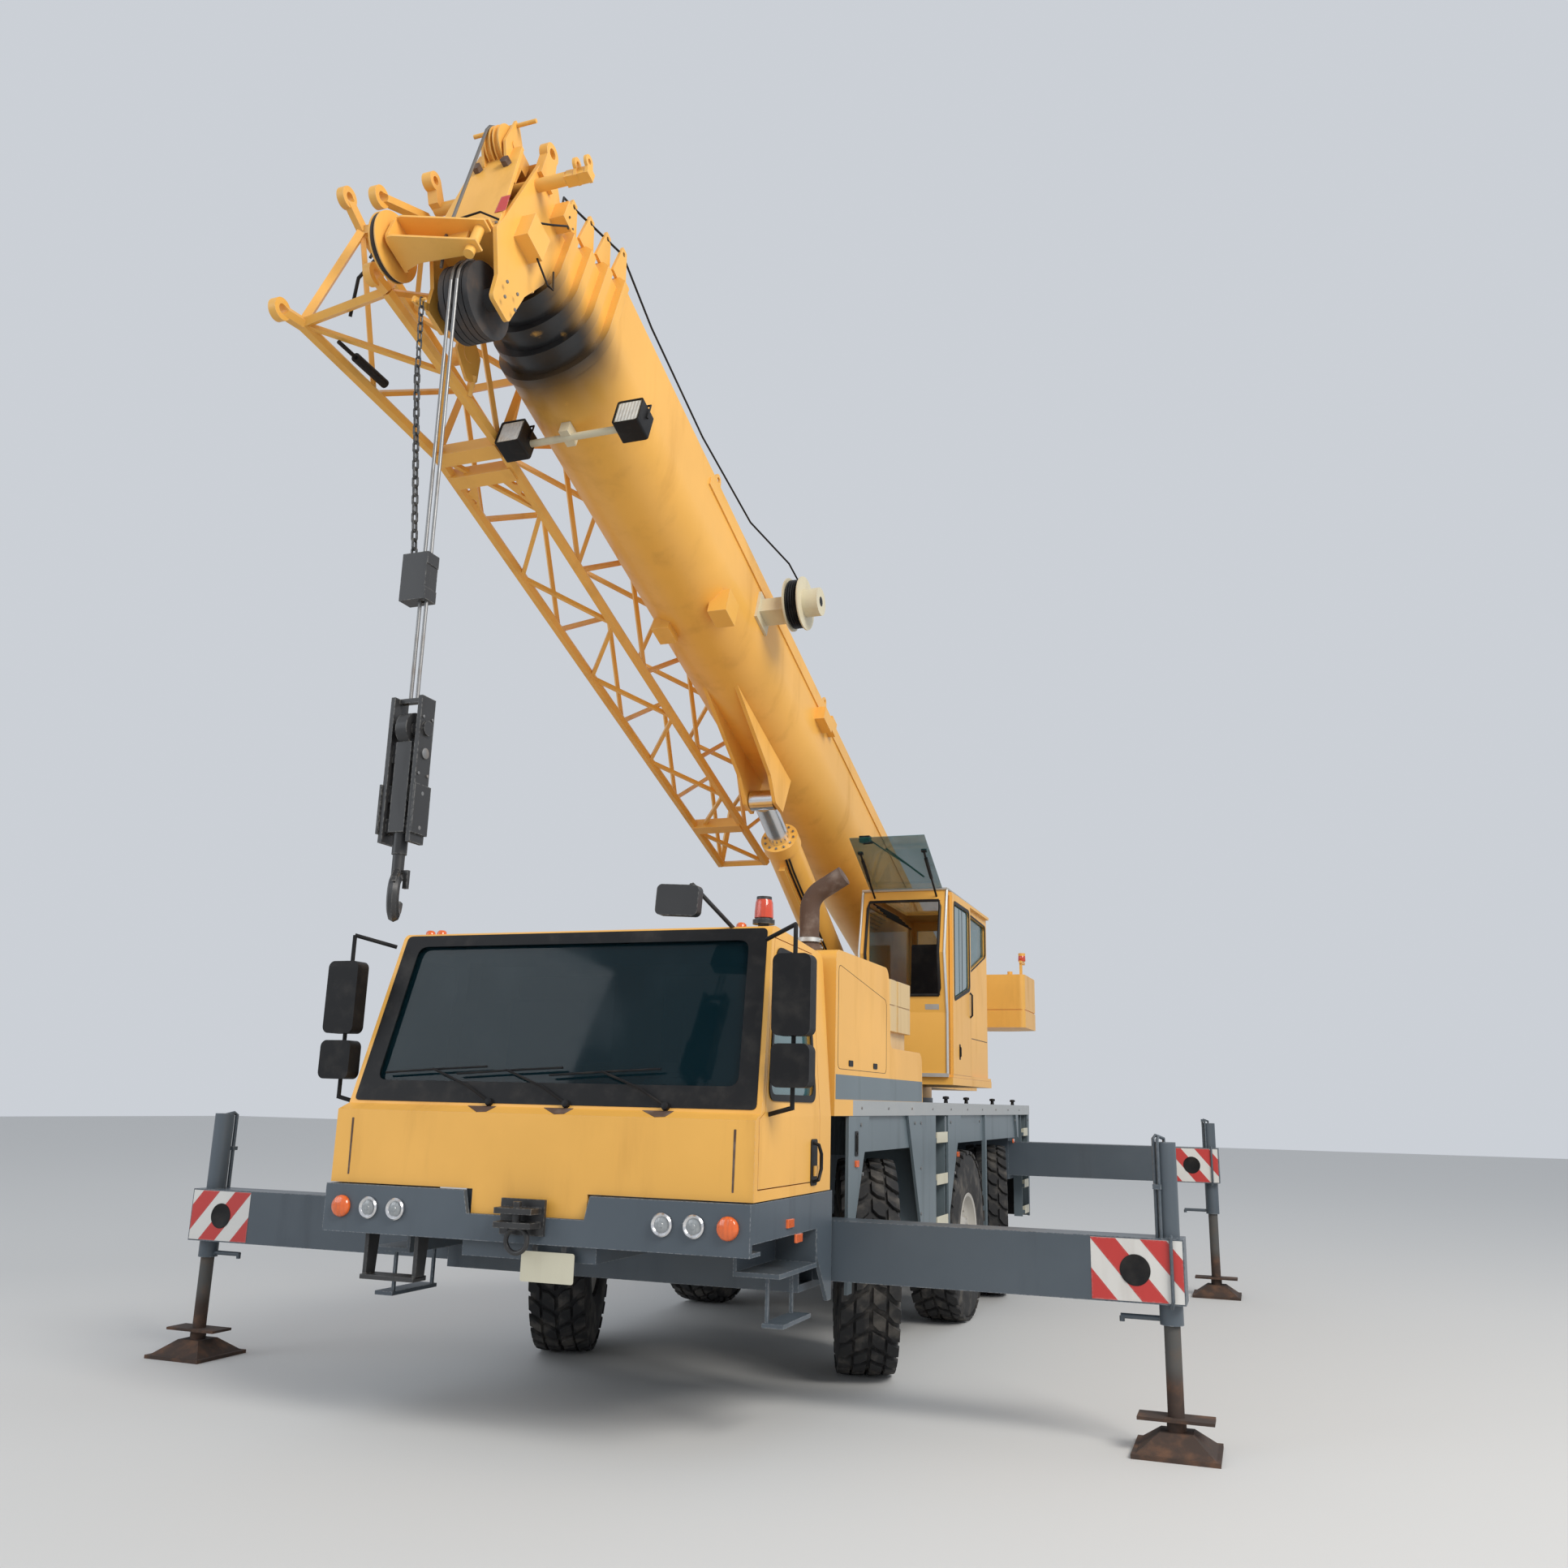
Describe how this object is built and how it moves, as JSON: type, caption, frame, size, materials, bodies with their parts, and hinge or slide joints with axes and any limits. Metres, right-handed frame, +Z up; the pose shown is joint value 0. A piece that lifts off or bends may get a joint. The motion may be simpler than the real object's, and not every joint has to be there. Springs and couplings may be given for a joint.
{
  "type": "mobile crane",
  "caption": "Three-axle all-terrain mobile crane with telescopic boom, luffing cylinder, stowed lattice jib, hook block, two cabs and four outriggers.",
  "frame": {"origin": "on the ground under the centre of the bounding box, on the vehicle's centreline", "axes": "the vehicle faces -Y, +X is its left side and +Z is up"},
  "size_m": [6.7, 11.2683, 6.998],
  "materials": {
    "yellow_paint": "semi-gloss",
    "panel_paint": "semi-gloss",
    "grey_paint": "worn satin",
    "black_paint": "satin",
    "cream_paint": "matt",
    "aluminium": "matt",
    "tyre": "matt",
    "lamp": "glossy",
    "trim": "matt",
    "seat_cloth": "matt",
    "glass": "tinted",
    "rod_chrome": "polished",
    "rusty_steel": "rusty",
    "steel": "worn",
    "iron": "rough"
  },
  "bodies": {
    "carrier": {"chassis": "grey_paint", "outrigger_boxes": "grey_paint", "axle_beams": "black_paint", "deck": "panel_paint", "deck_rails": "aluminium", "side_panels": "panel_paint", "tool_boxes": "panel_paint", "ladders": "cream_paint", "cab_shell": "yellow_paint", "cab_band": "grey_paint", "cab_glass": "glass", "cab_interior": "trim", "cab_fittings": "black_paint", "lamps": "lamp", "engine_hood": "yellow_paint", "engine_block": "iron", "exhaust": "rusty_steel", "deck_ballast": "grey_paint"},
    "left_door": {"door_left": "yellow_paint", "mirrors_left": "trim"},
    "right_door": {"door_right": "yellow_paint", "mirrors_right": "trim"},
    "beam_front_left": {"beam_front_left": "grey_paint"},
    "leg_front_left": {"leg_front_left": "rusty_steel"},
    "beam_rear_left": {"beam_rear_left": "grey_paint"},
    "leg_rear_left": {"leg_rear_left": "rusty_steel"},
    "beam_front_right": {"beam_front_right": "grey_paint"},
    "leg_front_right": {"leg_front_right": "rusty_steel"},
    "beam_rear_right": {"beam_rear_right": "grey_paint"},
    "leg_rear_right": {"leg_rear_right": "rusty_steel"},
    "wheel_one_left": {"wheel_one_left": "tyre"},
    "knuckle_one_left": {"knuckle_one_left": "iron"},
    "wheel_one_right": {"wheel_one_right": "tyre"},
    "knuckle_one_right": {"knuckle_one_right": "iron"},
    "wheel_two_left": {"wheel_two_left": "tyre"},
    "wheel_two_right": {"wheel_two_right": "tyre"},
    "wheel_three_left": {"wheel_three_left": "tyre"},
    "knuckle_three_left": {"knuckle_three_left": "iron"},
    "wheel_three_right": {"wheel_three_right": "tyre"},
    "knuckle_three_right": {"knuckle_three_right": "iron"},
    "superstructure": {"turntable": "yellow_paint", "crane_cab": "yellow_paint", "crane_cab_glass": "glass", "crane_seat": "seat_cloth", "counterweight": "yellow_paint"},
    "crane_door": {"crane_cab_door": "yellow_paint"},
    "winch_drum": {"winch_drum": "grey_paint"},
    "boom_base": {"boom_base": "yellow_paint", "stowed_jib": "yellow_paint", "boom_fittings": "cream_paint"},
    "luff_barrel": {"luff_barrel": "yellow_paint"},
    "luff_rod": {"luff_rod": "rod_chrome"},
    "boom_stage_one": {"boom_stage_one": "yellow_paint"},
    "boom_stage_two": {"boom_stage_two": "yellow_paint"},
    "boom_stage_three": {"boom_stage_three": "yellow_paint"},
    "boom_head": {"boom_head": "yellow_paint"},
    "head_sheaves": {"head_sheaves": "steel"},
    "hook_fall": {"hook_rope": "steel", "limit_weight": "black_paint"},
    "hook": {"hook_block": "black_paint"}
  },
  "joints": [
    {"name": "left_door_hinge", "type": "hinge", "parent": "carrier", "child": "left_door", "pos_m": [1.265, -3.913, 1.95], "axis": [0, 0, -1], "range_deg": [0, 75]},
    {"name": "right_door_hinge", "type": "hinge", "parent": "carrier", "child": "right_door", "pos_m": [-1.265, -3.913, 1.95], "axis": [0, 0, 1], "range_deg": [0, 75]},
    {"name": "front_left_beam_slide", "type": "slide", "parent": "carrier", "child": "beam_front_left", "axis": [1, 0, 0], "range_m": [-1.9, 0]},
    {"name": "front_left_leg_slide", "type": "slide", "parent": "beam_front_left", "child": "leg_front_left", "axis": [0, 0, -1], "range_m": [-0.4, 0]},
    {"name": "rear_left_beam_slide", "type": "slide", "parent": "carrier", "child": "beam_rear_left", "axis": [1, 0, 0], "range_m": [-1.9, 0]},
    {"name": "rear_left_leg_slide", "type": "slide", "parent": "beam_rear_left", "child": "leg_rear_left", "axis": [0, 0, -1], "range_m": [-0.4, 0]},
    {"name": "front_right_beam_slide", "type": "slide", "parent": "carrier", "child": "beam_front_right", "axis": [-1, 0, 0], "range_m": [-1.9, 0]},
    {"name": "front_right_leg_slide", "type": "slide", "parent": "beam_front_right", "child": "leg_front_right", "axis": [0, 0, -1], "range_m": [-0.4, 0]},
    {"name": "rear_right_beam_slide", "type": "slide", "parent": "carrier", "child": "beam_rear_right", "axis": [-1, 0, 0], "range_m": [-1.9, 0]},
    {"name": "rear_right_leg_slide", "type": "slide", "parent": "beam_rear_right", "child": "leg_rear_right", "axis": [0, 0, -1], "range_m": [-0.4, 0]},
    {"name": "steer_one_left", "type": "hinge", "parent": "carrier", "child": "knuckle_one_left", "pos_m": [0.85, -1.405, 0.684], "axis": [0, 0, 1], "range_deg": [-48, 8]},
    {"name": "wheel_one_left_spin", "type": "hinge", "parent": "knuckle_one_left", "child": "wheel_one_left", "pos_m": [1.06613, -1.32634, 0.684], "axis": [0.9397, 0.342, 0], "continuous": true},
    {"name": "steer_one_right", "type": "hinge", "parent": "carrier", "child": "knuckle_one_right", "pos_m": [-0.85, -1.405, 0.684], "axis": [0, 0, 1], "range_deg": [-48, 8]},
    {"name": "wheel_one_right_spin", "type": "hinge", "parent": "knuckle_one_right", "child": "wheel_one_right", "pos_m": [-1.06613, -1.48366, 0.684], "axis": [0.9397, 0.342, 0], "continuous": true},
    {"name": "wheel_two_left_spin", "type": "hinge", "parent": "carrier", "child": "wheel_two_left", "pos_m": [1.08, 1.11, 0.684], "axis": [1, 0, 0], "continuous": true},
    {"name": "wheel_two_right_spin", "type": "hinge", "parent": "carrier", "child": "wheel_two_right", "pos_m": [-1.08, 1.11, 0.684], "axis": [1, 0, 0], "continuous": true},
    {"name": "steer_three_left", "type": "hinge", "parent": "carrier", "child": "knuckle_three_left", "pos_m": [0.85, 2.76, 0.684], "axis": [0, 0, 1], "range_deg": [-30, 6]},
    {"name": "wheel_three_left_spin", "type": "hinge", "parent": "knuckle_three_left", "child": "wheel_three_left", "pos_m": [1.07497, 2.80782, 0.684], "axis": [0.9781, 0.2079, 0], "continuous": true},
    {"name": "steer_three_right", "type": "hinge", "parent": "carrier", "child": "knuckle_three_right", "pos_m": [-0.85, 2.76, 0.684], "axis": [0, 0, 1], "range_deg": [-30, 6]},
    {"name": "wheel_three_right_spin", "type": "hinge", "parent": "knuckle_three_right", "child": "wheel_three_right", "pos_m": [-1.07497, 2.71218, 0.684], "axis": [0.9781, 0.2079, 0], "continuous": true},
    {"name": "slew", "type": "hinge", "parent": "carrier", "child": "superstructure", "pos_m": [0, 2.45, 1.85], "axis": [0, 0, 1], "continuous": true},
    {"name": "crane_door_slide", "type": "slide", "parent": "superstructure", "child": "crane_door", "axis": [0, 1, 0], "range_m": [0, 0.65]},
    {"name": "winch_spin", "type": "hinge", "parent": "superstructure", "child": "winch_drum", "pos_m": [0, 4.45, 2.21], "axis": [1, 0, 0], "continuous": true},
    {"name": "boom_luff", "type": "hinge", "parent": "superstructure", "child": "boom_base", "pos_m": [0, 3.9, 2.68], "axis": [-1, 0, 0], "range_deg": [-10, 62]},
    {"name": "luff_barrel_pivot", "type": "hinge", "parent": "superstructure", "child": "luff_barrel", "pos_m": [0, 2.65, 2.08], "axis": [-1, 0, 0], "range_deg": [-10.9, 64.98]},
    {"name": "luff_rod_slide", "type": "slide", "parent": "luff_barrel", "child": "luff_rod", "axis": [0, -0.8563, 0.5165], "range_m": [-0.234, 1.43]},
    {"name": "tele_1", "type": "slide", "parent": "boom_base", "child": "boom_stage_one", "axis": [0, -0.9397, 0.342], "range_m": [0, 7.4]},
    {"name": "tele_2", "type": "slide", "parent": "boom_stage_one", "child": "boom_stage_two", "axis": [0, -0.9397, 0.342], "range_m": [0, 7.4]},
    {"name": "tele_3", "type": "slide", "parent": "boom_stage_two", "child": "boom_stage_three", "axis": [0, -0.9397, 0.342], "range_m": [0, 7.4]},
    {"name": "tele_4", "type": "slide", "parent": "boom_stage_three", "child": "boom_head", "axis": [0, -0.9397, 0.342], "range_m": [0, 7.4]},
    {"name": "sheave_spin", "type": "hinge", "parent": "boom_head", "child": "head_sheaves", "pos_m": [0, -5.15187, 5.76177], "axis": [1, 0, 0], "continuous": true},
    {"name": "rope_hang", "type": "hinge", "parent": "boom_head", "child": "hook_fall", "pos_m": [0, -5.15187, 5.76177], "axis": [-1, 0, 0], "range_deg": [-62, 14]},
    {"name": "hoist", "type": "slide", "parent": "hook_fall", "child": "hook", "axis": [0, 0, -1], "range_m": [-0.45, 0], "deforming": ["hook_rope"]}
  ],
  "couplings": [
    {"joint": "steer_one_right", "follows": "steer_one_left", "ratio": 1},
    {"joint": "steer_three_right", "follows": "steer_three_left", "ratio": 1},
    {"joint": "luff_barrel_pivot", "follows": "boom_luff", "ratio": 1.04},
    {"joint": "luff_rod_slide", "follows": "boom_luff", "m_per_rad": 1.3178},
    {"joint": "tele_2", "follows": "tele_1", "ratio": 1},
    {"joint": "tele_3", "follows": "tele_1", "ratio": 1},
    {"joint": "tele_4", "follows": "tele_1", "ratio": 1},
    {"joint": "rope_hang", "follows": "boom_luff", "ratio": -1}
  ]
}
